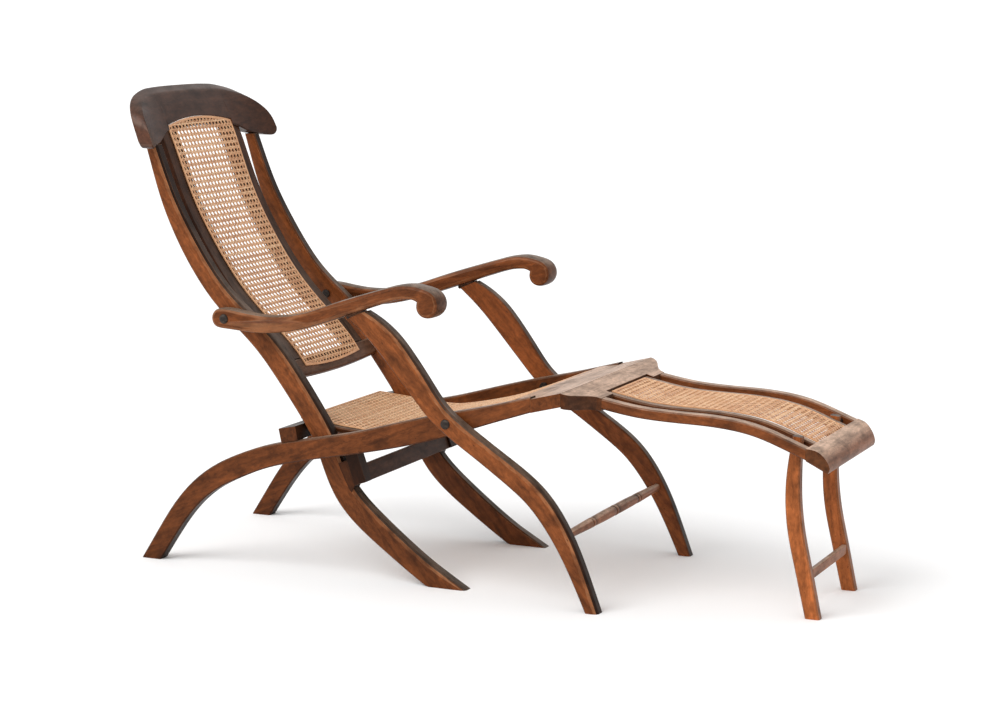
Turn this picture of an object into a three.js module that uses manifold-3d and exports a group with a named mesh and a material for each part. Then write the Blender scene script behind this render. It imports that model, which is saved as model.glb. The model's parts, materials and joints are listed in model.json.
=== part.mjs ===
// A steamer deck chair of walnut and cane that stands open, with its leg rest pegged to the seat.
// Millimetres, +Z up, +X towards the foot end, +Y towards the sitter's left.
import * as THREE from "three";
import { mergeVertices } from "three/addons/utils/BufferGeometryUtils.js";
import Module from "manifold-3d";

const wasm = await Module();
wasm.setup();

// Driving dimensions
const footSpan = 1110; // rear feet to front feet, the length that the side curves follow
const chairHeight = 1046; // floor to the crest's top, the height that the side curves follow
const frameWidth = 570; // over the front legs
const legRestReach = 546; // seat's front edge to the leg rest's tip
const frontLegThickness = 28.5; // sideways, as are the next three
const railThickness = 29.5;
const stileThickness = 29;
const layerGap = 1; // between boards that turn past each other
const jointGap = 0.3; // between pieces that are fixed to each other
const stationSpacing = 44; // between the sections of a curved board
const boardEdge = 3; // chamfer of the boards' long edges
const frontRoundSide = 8; // rounding of the stiles' and front legs' outer front edges, sideways
const frontRoundDepth = 12; // the same, from front to back
const weldTolerance = 0.001;
const cutOverrun = 5; // how far a cutting tool passes a face

// Layers of the chair's sides, from the outside in
const legOuter = frameWidth / 2;
const legInner = legOuter - frontLegThickness;
const railOuter = legInner - layerGap;
const railInner = railOuter - railThickness;
const stileOuter = railInner - layerGap;
const stileInner = stileOuter - stileThickness;
const panelOuter = stileInner - layerGap;

// Seat rail, from its foot to its front end
const railShares = [
  [0.0155, 0],
  [0.0896, 0.1155],
  [0.1528, 0.1805],
  [0.2297, 0.2232],
  [0.3153, 0.2543],
  [0.4982, 0.2945],
  [0.6847, 0.347],
  [0.855, 0.4001],
];
const railDepth = 45;
const railDepthShares = [0.9, 0.96, 1.03, 1.12, 1.06, 1, 1.03, 1.16, 1.12, 0.82, 0.69];

// Back stile and middle leg in one, from below its top end to its foot
const stileTopXShare = 0.0198;
const stileShares = [
  [0.0694, 0.74],
  [0.1595, 0.588],
  [0.2829, 0.4656],
  [0.3946, 0.3031],
  [0.4207, 0.2342],
  [0.4658, 0.153],
  [0.5991, 0.043],
  [0.6667, 0],
];
const stileDepth = 49;
const stileDepthShares = [0.51, 0.71, 0.88, 0.9, 0.96, 1.05, 1, 1.07, 1.1, 1, 0.95];

// Front leg, from the hinge under the arm to its foot
const legShares = [
  [0.5623, 0.5165],
  [0.6162, 0.4493],
  [0.6608, 0.3895],
  [0.6919, 0.3556],
  [0.8081, 0.2734],
  [0.8748, 0.2218],
  [0.9243, 0.152],
  [0.9586, 0.0803],
  [0.9901, 0],
];
const legDepth = 40;
const legDepthShares = [0.98, 1.42, 1.36, 1.14, 1.05, 1.03, 1.1, 1.12, 1, 0.82, 0.67];

// Pivots
const armPivotShare = [0.2018, 0.5315];
const hingePivotShare = [0.4874, 0.5554];
const legPivotShare = [0.693, 0.3533];
const backPivotShare = [0.3964, 0.283];
const hingeSlope = THREE.MathUtils.degToRad(23.6); // of the front leg's top face

// Arms
const armEndRadius = 24;
const armEndShift = 10; // from the bolt back to the middle of the round end
const crownShares = [
  [0.2892, 0.543],
  [0.3721, 0.5526],
  [0.464, 0.5851],
  [0.5541, 0.6147],
  [0.6207, 0.6329],
];
const undersideShares = [
  [0.6333, 0.6023],
  [0.6054, 0.6004],
  [0.5216, 0.5717],
  [0.4414, 0.542],
  [0.3595, 0.5163],
  [0.2883, 0.5052],
];
const undersideEndShift = 16; // from the pivot to where the underside meets the round end
const crownEndShift = 4; // the same on the crown
const scrollShare = [0.6649, 0.5889];
const scrollRadius = 38;
const scrollEyeRadius = 25;
const armRearThickness = 35;
const armFrontThickness = 55;
const armFlare = 31; // how far the inner face moves out on its way to the scroll
const armPlainLength = 60; // in front of the pivot, before the arm swells
const armRound = 8; // rounding of the arm's edges

// Crest rail
const crestEar = 45; // beyond the stiles' outer faces
const crestHalfWidth = stileOuter + crestEar;
const crestThickness = 34;
const crestUndersideShare = 0.8843;
const crestShoulderShare = 0.9034;
const crestFaceXShare = 0.0212; // front face in the middle, at the underside's height
const crestLean = -0.355; // of its faces, forward over upward
const crestSweep = 35; // how far the ends stand in front of the middle
const crestSweepPower = 4.4;
const crestSetBack = 17; // of the front face at the top, where it rolls backwards
const crestRollShare = 0.918; // height at which the roll starts
const crestTopFall = 9; // of its front edge below its rear edge
const crestTopPower = 3.8;
const crestTopRoot = 0.4;
const crestCoveRise = 25; // of the underside, beside the cane
const crestNotchRise = 37; // of the arch over the cane, at the cane's sides
const crestArchRise = 15; // of the arch itself
const crestEarDrop = 6; // of the ears below the underside
const crestEarRun = 22; // over which they drop
const crestTipRadius = 15; // rounding of the ears' lower corners
const crestLeastHeight = 9; // where the ears end, and the same up to its front edge
const crestLeastBrow = 6;
const crestLevelShares = [0.5, 0.8]; // of its front face, between its edges
const crestStationShares = [0.17, 0.32, 0.48, 0.56, 0.73, 0.83, 0.9, 0.945, 0.97, 0.985, 0.995, 1];

// Cane panels
const caneThickness = 3;
const caneStrand = 8; // solid width between two openings
const caneBedding = 0.8; // between a cane sheet and the frame behind it
const panelGap = 30; // between a back stile and the panel stile beside it
const panelStileWidth = 64;
const caneLap = 20; // of the back cane over its panel stiles
const caneSpread = 12; // by which each side of the back cane is wider at its top
const panelStileOuter = stileInner - panelGap;
const panelStileInner = panelStileOuter - panelStileWidth;
const backCaneHalfWidth = panelStileInner + caneLap;
const backCaneTopHalfWidth = backCaneHalfWidth + caneSpread;
const seatPanelRailWidth = 45;
const seatPanelInner = panelOuter - seatPanelRailWidth;
const seatCaneMargin = 10; // of the panel's side rails, left bare beside the cane
const seatCaneHalfWidth = panelOuter - seatCaneMargin;
const backCaneShares = [
  [0.0015, 0.934],
  [0.022, 0.884],
  [0.0764, 0.74],
  [0.1676, 0.588],
  [0.282, 0.4656],
  [0.319, 0.4159],
];
const backCaneTopShare = 0.011; // of the back cane's line, left free at its top corners
const backCaneSweep = 8; // of its lower edge, downwards in the middle

// Frame round the back cane
const panelStileThickness = 20;
const panelStileTopShare = 0.035; // of the back cane's line
const panelStileEndGap = 0.9; // above the bottom rail, measured along the cane
const bottomRailThickness = 18;
const bottomRailHeight = 46;
const bottomRailEase = 0.3; // added behind the cane, which curves over the straight rail

// Seat panel, its centre line
const seatPanelShares = [
  [0.4631, 0.3021],
  [0.5045, 0.2992],
  [0.5495, 0.305],
  [0.6577, 0.3317],
  [0.7568, 0.3709],
];
const seatPanelThickness = 18; // cane and frame together
const seatRearRailLength = 38;
const seatPanelProud = 4; // of the panel's top above the stop bar's

// Stop bar behind the back
const stopBarWidth = 42;
const stopBarHeight = 31;
const stopBarXShare = 0.346;

// Front board of the seat
const boardRearShare = [0.8153, 0.4054];
const boardMidTopShare = 0.412;
const boardFrontShare = [0.9162, 0.4283];
const frontBoardThickness = 29;

// Hanger arms under the seat and the middle legs' wedges
const hangerUpperShare = 0.24; // height of a place of the middle leg; its gap is the hanger's distance there
const hangerUpperGap = 14;
const hangerLowerShare = 0.187;
const hangerLowerGap = 8;
const hangerRise = 22; // above the upper place
const hangerTail = 7; // below the lower place
const hangerWidth = 29;
const crossBarThickness = 19;
const crossBarHeight = 38;
const wedgeTopShare = 0.35; // of the hanger's length, down from its top
const wedgeTail = 26; // beyond the hanger's lower end

// Turned stretcher between the front legs
const stretcherShare = [0.9306, 0.146];
const stretcherRadius = 12;
const stretcherEndRadius = 8.5;
const ringGroove = 1.6; // depth of a turned groove
const ringPitch = 7;
const ringWidthShare = 0.33; // of the pitch, each side of a groove
const ringPlaceShares = [-0.5, 0, 0.5]; // of half the stretcher's length

// Leg rest
const legRestLineShares = [
  [0.2546, 0.3872],
  [0.412, 0.3834],
  [0.564, 0.3815],
  [0.716, 0.3709],
  [0.857, 0.3442],
];
const legRestStartShare = [0.11, 0.3996];
const legRestStripStartShare = [0.083, 0.4035];
const legRestEndShare = [0.914, 0.3327];
const legRestCaneEndShare = 0.993; // of the strips' line
const legRestSetIn = 74.5; // of the leg rest's sides from the seat rails' outer faces
const legRestRailOuter = railOuter - legRestSetIn;
const legRestRailThickness = 26;
const legRestRailDepth = 22;
const restLegSlot = 39.7; // between a rail and the strip beside it, where the leg folds
const stripWidth = 21;
const stripDepth = 16;
const restRailInner = legRestRailOuter - legRestRailThickness;
const stripInner = restRailInner - restLegSlot - stripWidth;
const legRestCaneHalfWidth = stripInner - jointGap;
const headRearThickness = 32;
const headTopFallShare = 0.0172; // of the head board's top, from its rear edge to its front
const headThinning = 5; // from its rear edge to its front
const ogeeReach = 60;
const ogeeStationShares = [0.12, 0.27, 0.42, 0.56, 0.7, 0.84];
const headNotch = 16;
const endBoardShares = [
  [0.9146, 0.3445],
  [0.947, 0.3405],
  [0.967, 0.333],
  [0.983, 0.3225],
  [0.9935, 0.311],
  [0.996, 0.303],
  [0.989, 0.2955],
];
const endBoardHeelShare = [0.9146, 0.3205]; // lower end of its rear face
const endBoardTipShare = 0.9; // of its width, left at its tip

// Leg rest's legs
const restLegShares = [
  [0.855, 0.3576],
  [0.8425, 0.2935],
  [0.8407, 0.2285],
  [0.855, 0.1635],
  [0.8828, 0.0994],
  [0.9249, 0],
];
const restLegPivotShare = [0.8608, 0.3423];
const restLegDepth = 33;
const restLegDepthShares = [0.6, 0.88, 1, 1, 0.97, 0.92];
const restLegThickness = 21;
const restStretcherShare = [0.9065, 0.0855];
const restStretcherHeight = 20;
const restStretcherThickness = 10;

// Ironwork
const boltRadius = 5;
const boltHeadRadius = 11;
const boltHeadHeight = 5.5;
const nutRadius = 10;
const nutHeight = 7;
const nutDomeShare = 0.7; // of the arm bolt nut's radius, left at its end
const pinRadius = 6;
const pinBlindDepth = 24; // in the board that holds it
const runningClearance = 0.35; // round a pin or bolt
const hingePinRadius = 2.3;
const knuckleRadius = 4.6;
const leafThickness = 2.5;
const hingeSides = 12; // of the barrels' and pins' outlines
const leafGap = 0.6; // between two closed leaves
const leafLength = 36;
const leafMargin = 2; // each side of the leaf on the front leg
const pegRadius = 6;
const pegSeat = 26; // in the head board
const pegReach = 30; // in the seat's front board
const pegInset = 53; // from the leg rest's sides
const pegOffset = legRestRailOuter - pegInset;
const pegHeightShare = 0.4073;

// Looks
const finishes = {
  wood: new THREE.MeshStandardMaterial({ color: 0x6e3f22, roughness: 0.42, metalness: 0 }),
  darkWood: new THREE.MeshStandardMaterial({ color: 0x3f2417, roughness: 0.4, metalness: 0 }),
  cane: new THREE.MeshStandardMaterial({ color: 0xc9ad7d, roughness: 0.65, metalness: 0 }),
  iron: new THREE.MeshStandardMaterial({ color: 0x2b2827, roughness: 0.5, metalness: 0.85 }),
};

// Places in the side view: x along the chair and z up, held in a Vector2
function sidePoint([xShare, zShare]) {
  return new THREE.Vector2(xShare * footSpan, zShare * chairHeight);
}

const seatFrontX = boardFrontShare[0] * footSpan;

function restPoint([xShare, zShare]) {
  return new THREE.Vector2(seatFrontX + xShare * legRestReach, zShare * chairHeight);
}

function splineOf(points) {
  const line = new THREE.SplineCurve(points);
  line.arcLengthDivisions = 400;
  return line;
}

function leftOf(direction) {
  return new THREE.Vector2(-direction.y, direction.x);
}

function stationAt(line, u) {
  const point = line.getPointAt(u);
  const tangent = line.getTangentAt(u);
  return { point, tangent, normal: leftOf(tangent) };
}

function moved(point, direction, distance) {
  return point.clone().addScaledVector(direction, distance);
}

// Value of a row of shares at u, which runs from 0 to 1
function blend(shares, u) {
  const place = THREE.MathUtils.clamp(u, 0, 1) * (shares.length - 1);
  const index = Math.min(Math.floor(place), shares.length - 2);
  return THREE.MathUtils.lerp(shares[index], shares[index + 1], place - index);
}

// Share of a line's length at which its x or y reaches a value
function shareWhere(line, axis, value) {
  let low = 0;
  let high = 1;
  const rising = line.getPointAt(1)[axis] > line.getPointAt(0)[axis];
  for (let pass = 0; pass < 40; pass += 1) {
    const middle = (low + high) / 2;
    if (line.getPointAt(middle)[axis] < value === rising) low = middle;
    else high = middle;
  }
  return (low + high) / 2;
}

// Line beside another, over a stretch of it
function lineBeside(line, distance, from = 0, to = 1) {
  const count = Math.max(4, Math.round(16 * (to - from)));
  const points = [];
  for (let i = 0; i <= count; i += 1) {
    const { point, normal } = stationAt(line, THREE.MathUtils.lerp(from, to, i / count));
    points.push(moved(point, normal, distance));
  }
  return splineOf(points);
}

function signedVolume(positions, index) {
  const a = new THREE.Vector3();
  const b = new THREE.Vector3();
  const c = new THREE.Vector3();
  let sum = 0;
  for (let i = 0; i < index.length; i += 3) {
    a.fromArray(positions, index[i] * 3);
    b.fromArray(positions, index[i + 1] * 3);
    c.fromArray(positions, index[i + 2] * 3);
    sum += a.dot(b.cross(c));
  }
  return sum / 6;
}

// Welded copy of a closed geometry, with its faces turned outwards
function closed(geometry) {
  const bare = new THREE.BufferGeometry();
  bare.setAttribute("position", geometry.getAttribute("position"));
  if (geometry.index) bare.setIndex(geometry.index);
  const welded = mergeVertices(bare, weldTolerance);
  const index = Uint32Array.from(welded.index.array);
  if (signedVolume(welded.attributes.position.array, index) < 0) index.reverse();
  welded.setIndex(new THREE.BufferAttribute(index, 1));
  return welded;
}

function solidOf(geometry) {
  const shell = closed(geometry);
  const vertProperties = shell.attributes.position.array;
  return new wasm.Manifold(new wasm.Mesh({ numProp: 3, vertProperties, triVerts: shell.index.array }));
}

function geometryOf(solid) {
  const mesh = solid.getMesh();
  const geometry = new THREE.BufferGeometry();
  geometry.setAttribute("position", new THREE.BufferAttribute(mesh.vertProperties, 3));
  geometry.setIndex(new THREE.BufferAttribute(mesh.triVerts, 1));
  return geometry;
}

function cut(geometry, ...tools) {
  return geometryOf(tools.reduce((body, tool) => body.subtract(solidOf(tool)), solidOf(geometry)));
}

function join(geometry, ...others) {
  return geometryOf(others.reduce((body, other) => body.add(solidOf(other)), solidOf(geometry)));
}

// Skin over rings of equal count, closed by fans at both ends
function loft(rings) {
  const size = rings[0].length;
  const positions = rings.flat().flatMap((point) => point.toArray());
  const index = [];
  for (let i = 0; i + 1 < rings.length; i += 1) {
    for (let k = 0; k < size; k += 1) {
      const here = i * size + k;
      const beside = i * size + ((k + 1) % size);
      index.push(here, beside, beside + size);
      index.push(here, beside + size, here + size);
    }
  }
  const last = (rings.length - 1) * size;
  for (let k = 1; k + 1 < size; k += 1) {
    index.push(0, k + 1, k);
    index.push(last, last + k, last + k + 1);
  }
  const geometry = new THREE.BufferGeometry();
  geometry.setAttribute("position", new THREE.Float32BufferAttribute(positions, 3));
  geometry.setIndex(index);
  return closed(geometry);
}

// Rectangle with chamfered corners: half the depth each way across, from one y to the other
function boardRing({ centre, across, half, yLow, yHigh, edge, rounded }) {
  const corners = [
    [edge - half, yLow],
    [half - edge, yLow],
    [half, yLow + edge],
  ];
  if (rounded) {
    for (const turn of [0, Math.PI / 4, Math.PI / 2]) {
      const d = half - frontRoundDepth * (1 - Math.cos(turn));
      corners.push([d, yHigh - frontRoundSide * (1 - Math.sin(turn))]);
    }
  } else {
    corners.push([half, yHigh - edge], [half - edge, yHigh]);
  }
  corners.push([edge - half, yHigh], [-half, yHigh - edge], [-half, yLow + edge]);
  return corners.map(([d, y]) => new THREE.Vector3(centre.x + across.x * d, y, centre.y + across.y * d));
}

// Board sawn to a side line. An end face given as a direction cuts that end; grow swells it for a housing
function sawnBoard(board) {
  const { line, depth, depthShares = [1, 1], yLow, yHigh } = board;
  const { edge = boardEdge, rounded = false, startFace, endFace, grow = 0 } = board;
  const steps = Math.max(2, Math.round(line.getLength() / stationSpacing));
  const rings = [];
  for (let i = 0; i <= steps; i += 1) {
    const u = i / steps;
    const { point, normal } = stationAt(line, u);
    const face = (i === 0 && startFace) || (i === steps && endFace) || normal;
    const half = ((depth * blend(depthShares, u)) / 2 + grow) / face.dot(normal);
    const section = { half, yLow: yLow - grow, yHigh: yHigh + grow, edge, rounded };
    rings.push(boardRing({ centre: point, across: face, ...section }));
  }
  return loft(rings);
}

function halfDepthAt({ depth, depthShares }, u) {
  return (depth * blend(depthShares, u)) / 2;
}

// Prism of a side-view outline, from one y to the other
function prism(points, yLow, yHigh) {
  const shape = new THREE.Shape(points);
  const geometry = new THREE.ExtrudeGeometry(shape, { depth: yHigh - yLow, bevelEnabled: false });
  geometry.rotateX(Math.PI / 2);
  geometry.translate(0, yHigh, 0);
  return closed(geometry);
}

// Round bar across the chair
function crossRod(point, radius, yLow, yHigh, sides = 16) {
  const geometry = new THREE.CylinderGeometry(radius, radius, yHigh - yLow, sides);
  geometry.translate(point.x, (yLow + yHigh) / 2, point.y);
  return geometry;
}

// Solid of revolution across the chair, from a profile of [radius, y]
function turned(point, profile, sides = 16) {
  const geometry = new THREE.LatheGeometry(profile.map(([r, y]) => new THREE.Vector2(r, y)), sides);
  geometry.translate(point.x, 0, point.y);
  return closed(geometry);
}

// Sheet with a grid of openings. place(u, v, side) gives a point, u across, v along, side -1 or 1
function net({ columns, rows, insetAcross, insetAlong, place }) {
  const corners = [];
  const quad = (a, b, c, d) => corners.push(a, b, c, a, c, d);
  for (let row = 0; row < rows; row += 1) {
    for (let column = 0; column < columns; column += 1) {
      const grid = [
        [column, row],
        [column + 1, row],
        [column + 1, row + 1],
        [column, row + 1],
      ];
      const hole = [
        [column + insetAcross, row + insetAlong],
        [column + 1 - insetAcross, row + insetAlong],
        [column + 1 - insetAcross, row + 1 - insetAlong],
        [column + insetAcross, row + 1 - insetAlong],
      ];
      const at = ([c, r], side) => place(c / columns, r / rows, side);
      const open = [row === 0, column === columns - 1, row === rows - 1, column === 0];
      for (let k = 0; k < 4; k += 1) {
        const next = (k + 1) % 4;
        quad(at(grid[k], 1), at(grid[next], 1), at(hole[next], 1), at(hole[k], 1));
        quad(at(grid[next], -1), at(grid[k], -1), at(hole[k], -1), at(hole[next], -1));
        quad(at(hole[k], 1), at(hole[next], 1), at(hole[next], -1), at(hole[k], -1));
        if (open[k]) quad(at(grid[next], 1), at(grid[k], 1), at(grid[k], -1), at(grid[next], -1));
      }
    }
  }
  const geometry = new THREE.BufferGeometry();
  const places = corners.flatMap((corner) => corner.toArray());
  geometry.setAttribute("position", new THREE.Float32BufferAttribute(places, 3));
  return closed(geometry);
}

// Cane sheet along a side line, with straight or swept ends given as shares of the line for each y
function caneSheet({ line, halfWidth, columns, rows, ...ends }) {
  const { startHalfWidth = halfWidth, startAt = () => 0, endAt = () => 1 } = ends;
  const cellWidth = (2 * halfWidth) / columns;
  const cellLength = line.getLength() / rows;
  const place = (u, v, side) => {
    const startY = THREE.MathUtils.lerp(-startHalfWidth, startHalfWidth, u);
    const endY = THREE.MathUtils.lerp(-halfWidth, halfWidth, u);
    const along = THREE.MathUtils.lerp(startAt(startY), endAt(endY), v);
    const { point, normal } = stationAt(line, along);
    const spot = moved(point, normal, (side * caneThickness) / 2);
    return new THREE.Vector3(spot.x, THREE.MathUtils.lerp(startY, endY, v), spot.y);
  };
  return net({
    columns,
    rows,
    insetAcross: caneStrand / 2 / cellWidth,
    insetAlong: caneStrand / 2 / cellLength,
    place,
  });
}

const groups = {};
for (const name of ["seatFrame", "backFrame", "frontLegs", "arms", "legRest", "legRestLegs"]) {
  groups[name] = new THREE.Group();
}

function add(group, name, geometry, finish) {
  const mesh = new THREE.Mesh(geometry, finish);
  mesh.name = name;
  groups[group].add(mesh);
  return mesh;
}

// The same piece on the sitter's left, and mirrored on the right
function addPair(group, name, geometry, finish) {
  add(group, `${name}_left`, geometry, finish);
  add(group, `${name}_right`, geometry, finish).scale.y = -1;
}

const level = new THREE.Vector2(1, 0);
const upright = new THREE.Vector2(0, 1);
const armPivot = sidePoint(armPivotShare);
const hingePivot = sidePoint(hingePivotShare);
const legPivot = sidePoint(legPivotShare);
const backPivot = sidePoint(backPivotShare);
const restLegPivot = restPoint(restLegPivotShare);

function hole(pivot, radius, yLow, yHigh) {
  return crossRod(pivot, radius + runningClearance, yLow, yHigh);
}

// Seat rails
const railLine = splineOf(railShares.map(sidePoint));
const rail = {
  line: railLine,
  depth: railDepth,
  depthShares: railDepthShares,
  yLow: railInner,
  yHigh: railOuter,
  startFace: level.clone().negate(),
  endFace: upright,
};
addPair(
  "seatFrame",
  "seat_rail",
  cut(
    sawnBoard(rail),
    hole(legPivot, boltRadius, railInner - cutOverrun, railOuter + cutOverrun),
    hole(backPivot, pinRadius, railInner - cutOverrun, railInner + pinBlindDepth + runningClearance),
  ),
  finishes.wood,
);

// Stop bar across the rails' upper edges, behind the back
const stopShare = shareWhere(railLine, "x", stopBarXShare * footSpan);
const stopSeat = stationAt(railLine, stopShare);
const stopCentre = moved(stopSeat.point, stopSeat.normal, halfDepthAt(rail, stopShare) + stopBarHeight / 2);
function barOutline(centre, along, width, height) {
  const across = leftOf(along);
  const ends = [-width / 2, width / 2];
  const lower = ends.map((w) => moved(moved(centre, along, w), across, -height / 2));
  const upper = ends.map((w) => moved(moved(centre, along, w), across, height / 2));
  return [lower[0], lower[1], upper[1], upper[0]];
}
const stopBar = cut(
  prism(barOutline(stopCentre, stopSeat.tangent, stopBarWidth, stopBarHeight), -railOuter, railOuter),
  sawnBoard({ ...rail, grow: jointGap }),
  sawnBoard({ ...rail, yLow: -railOuter, yHigh: -railInner, grow: jointGap }),
);
add("seatFrame", "back_stop_bar", stopBar, finishes.wood);

// Seat panel: its line starts at the stop bar's front face and ends at the front board
const boardRear = sidePoint(boardRearShare);
const panelStart = moved(
  moved(stopCentre, stopSeat.tangent, stopBarWidth / 2 + jointGap),
  stopSeat.normal,
  stopBarHeight / 2 + seatPanelProud - seatPanelThickness / 2,
);
const panelEnd = boardRear.clone().add(new THREE.Vector2(-jointGap, -seatPanelThickness / 2));
const seatPanelLine = splineOf([panelStart, ...seatPanelShares.map(sidePoint), panelEnd]);
const rearRailShare = seatRearRailLength / seatPanelLine.getLength();
const seatCaneStartShare = seatCaneMargin / seatPanelLine.getLength();
const seatFrameThickness = seatPanelThickness - caneThickness - caneBedding;
const seatFrameDrop = (seatPanelThickness - seatFrameThickness) / 2;
const seatFrameLine = splineOf([
  moved(panelStart, stopSeat.normal, -seatFrameDrop),
  ...seatPanelShares.map((share) => moved(sidePoint(share), upright, -seatFrameDrop)),
  moved(panelEnd, upright, -seatFrameDrop),
]);
addPair(
  "seatFrame",
  "seat_panel_rail",
  sawnBoard({
    line: seatFrameLine,
    depth: seatFrameThickness,
    yLow: seatPanelInner,
    yHigh: panelOuter,
    startFace: stopSeat.normal,
    endFace: upright,
  }),
  finishes.wood,
);
add(
  "seatFrame",
  "seat_panel_rear_rail",
  sawnBoard({
    line: lineBeside(seatFrameLine, 0, 0, rearRailShare),
    depth: seatFrameThickness,
    yLow: jointGap - seatPanelInner,
    yHigh: seatPanelInner - jointGap,
    startFace: stopSeat.normal,
  }),
  finishes.wood,
);
add(
  "seatFrame",
  "seat_cane",
  caneSheet({
    line: lineBeside(seatPanelLine, (seatPanelThickness - caneThickness) / 2, seatCaneStartShare),
    halfWidth: seatCaneHalfWidth,
    columns: 9,
    rows: 12,
  }),
  finishes.cane,
);

// Front board, a plan outline whose top and underside follow the seat's slope
function plate(outline, topAt, thicknessAt) {
  const geometry = new THREE.ExtrudeGeometry(new THREE.Shape(outline), { depth: 1, bevelEnabled: false });
  const position = geometry.getAttribute("position");
  for (let i = 0; i < position.count; i += 1) {
    const x = position.getX(i);
    position.setZ(i, topAt(x) - (1 - position.getZ(i)) * thicknessAt(x));
  }
  return closed(geometry);
}
function mirroredOutline(half) {
  const other = half.map((point) => new THREE.Vector2(point.x, -point.y));
  return [...half, ...other.reverse()];
}
const railEndX = railLine.getPointAt(1).x;
const boardMidX = railEndX + jointGap;
const boardFront = sidePoint(boardFrontShare);
function frontBoardTop(x) {
  const middle = boardMidTopShare * chairHeight;
  if (x < boardMidX) return THREE.MathUtils.mapLinear(x, boardRear.x, boardMidX, boardRear.y, middle);
  return THREE.MathUtils.mapLinear(x, boardMidX, boardFront.x, middle, boardFront.y);
}
const pegHeight = pegHeightShare * chairHeight;
function pegRod(radius, xLow, xHigh) {
  const geometry = new THREE.CylinderGeometry(radius, radius, xHigh - xLow, 16);
  geometry.rotateZ(Math.PI / 2);
  geometry.translate((xLow + xHigh) / 2, pegOffset, pegHeight);
  return geometry;
}
function pegHoles(xLow, xHigh) {
  const one = pegRod(pegRadius + runningClearance, xLow, xHigh);
  const other = one.clone();
  other.translate(0, -2 * pegOffset, 0);
  return [one, other];
}
add(
  "seatFrame",
  "seat_front_board",
  cut(
    plate(
      mirroredOutline([
        new THREE.Vector2(boardRear.x, railInner - jointGap),
        new THREE.Vector2(boardMidX, railInner - jointGap),
        new THREE.Vector2(boardMidX, railOuter),
        new THREE.Vector2(boardFront.x, railOuter),
      ]),
      frontBoardTop,
      () => frontBoardThickness,
    ),
    ...pegHoles(boardFront.x - pegReach - runningClearance, boardFront.x + cutOverrun),
  ),
  finishes.wood,
);

// Back stiles, whose lower parts are the middle legs
const crestUnderside = crestUndersideShare * chairHeight;
const stileTop = new THREE.Vector2(stileTopXShare * footSpan, crestUnderside - jointGap);
const stileLine = splineOf([stileTop, ...stileShares.map(sidePoint)]);
const stile = {
  line: stileLine,
  depth: stileDepth,
  depthShares: stileDepthShares,
  yLow: stileInner,
  yHigh: stileOuter,
  rounded: true,
  startFace: level,
  endFace: level,
};
addPair(
  "backFrame",
  "back_stile",
  cut(
    sawnBoard(stile),
    hole(backPivot, pinRadius, stileInner - cutOverrun, stileOuter + cutOverrun),
    hole(armPivot, boltRadius, stileInner - cutOverrun, stileOuter + cutOverrun),
  ),
  finishes.wood,
);

// Hanger arms and cross bar, the stop of the middle legs
function beforeLeg(heightShare, gap) {
  const share = shareWhere(stileLine, "y", heightShare * chairHeight);
  const { point, normal } = stationAt(stileLine, share);
  return moved(point, normal, halfDepthAt(stile, share) + gap);
}
const hangerUpper = beforeLeg(hangerUpperShare, hangerUpperGap);
const hangerLower = beforeLeg(hangerLowerShare, hangerLowerGap);
const hangerDown = hangerLower.clone().sub(hangerUpper).normalize();
const hangerTop = moved(hangerUpper, hangerDown, -hangerRise);
const hangerBottom = moved(hangerLower, hangerDown, hangerTail);
const hangerForward = leftOf(hangerDown);
const hangerLength = hangerTop.distanceTo(hangerBottom);
const hangerInner = stileInner;
function hangerOutline() {
  const middle = moved(moved(hangerTop, hangerDown, hangerLength / 2), hangerForward, hangerWidth / 2);
  return barOutline(middle, hangerForward, hangerWidth, hangerLength);
}
addPair("seatFrame", "hanger_arm", prism(hangerOutline(), hangerInner, railInner - jointGap), finishes.wood);
const crossCentre = moved(
  moved(hangerBottom, hangerDown, -crossBarHeight / 2),
  hangerForward,
  hangerWidth / 2,
);
add(
  "seatFrame",
  "hanger_cross_bar",
  prism(
    barOutline(crossCentre, hangerForward, crossBarThickness, crossBarHeight),
    jointGap - hangerInner,
    hangerInner - jointGap,
  ),
  finishes.wood,
);

// Round-headed bolt across the sides: its head stands on headFace, its shank ends at tip
function domedBolt(pivot, headFace, tip) {
  const profile = [
    [0, tip],
    [boltRadius, tip],
    [boltRadius, headFace + jointGap],
    [boltHeadRadius, headFace + jointGap],
  ];
  const steps = 4;
  for (let i = 1; i <= steps; i += 1) {
    const angle = (i / steps) * (Math.PI / 2);
    profile.push([boltHeadRadius * Math.cos(angle), headFace + jointGap + boltHeadHeight * Math.sin(angle)]);
  }
  profile[profile.length - 1][0] = 0;
  return turned(pivot, profile);
}
function hexNut(pivot, yLow, yHigh) {
  const corners = [];
  for (let i = 0; i < 6; i += 1) {
    const angle = (i / 6) * 2 * Math.PI;
    corners.push(moved(pivot, new THREE.Vector2(Math.cos(angle), Math.sin(angle)), nutRadius));
  }
  return cut(prism(corners, yLow, yHigh), hole(pivot, boltRadius, yLow - cutOverrun, yHigh + cutOverrun));
}
const frontNutTop = railInner - jointGap;
addPair(
  "seatFrame",
  "front_leg_bolt",
  domedBolt(legPivot, legOuter, frontNutTop - nutHeight),
  finishes.iron,
);
addPair("seatFrame", "front_leg_nut", hexNut(legPivot, frontNutTop - nutHeight, frontNutTop), finishes.iron);
addPair(
  "seatFrame",
  "back_pivot_pin",
  crossRod(backPivot, pinRadius, stileInner, railInner + pinBlindDepth),
  finishes.iron,
);

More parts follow.
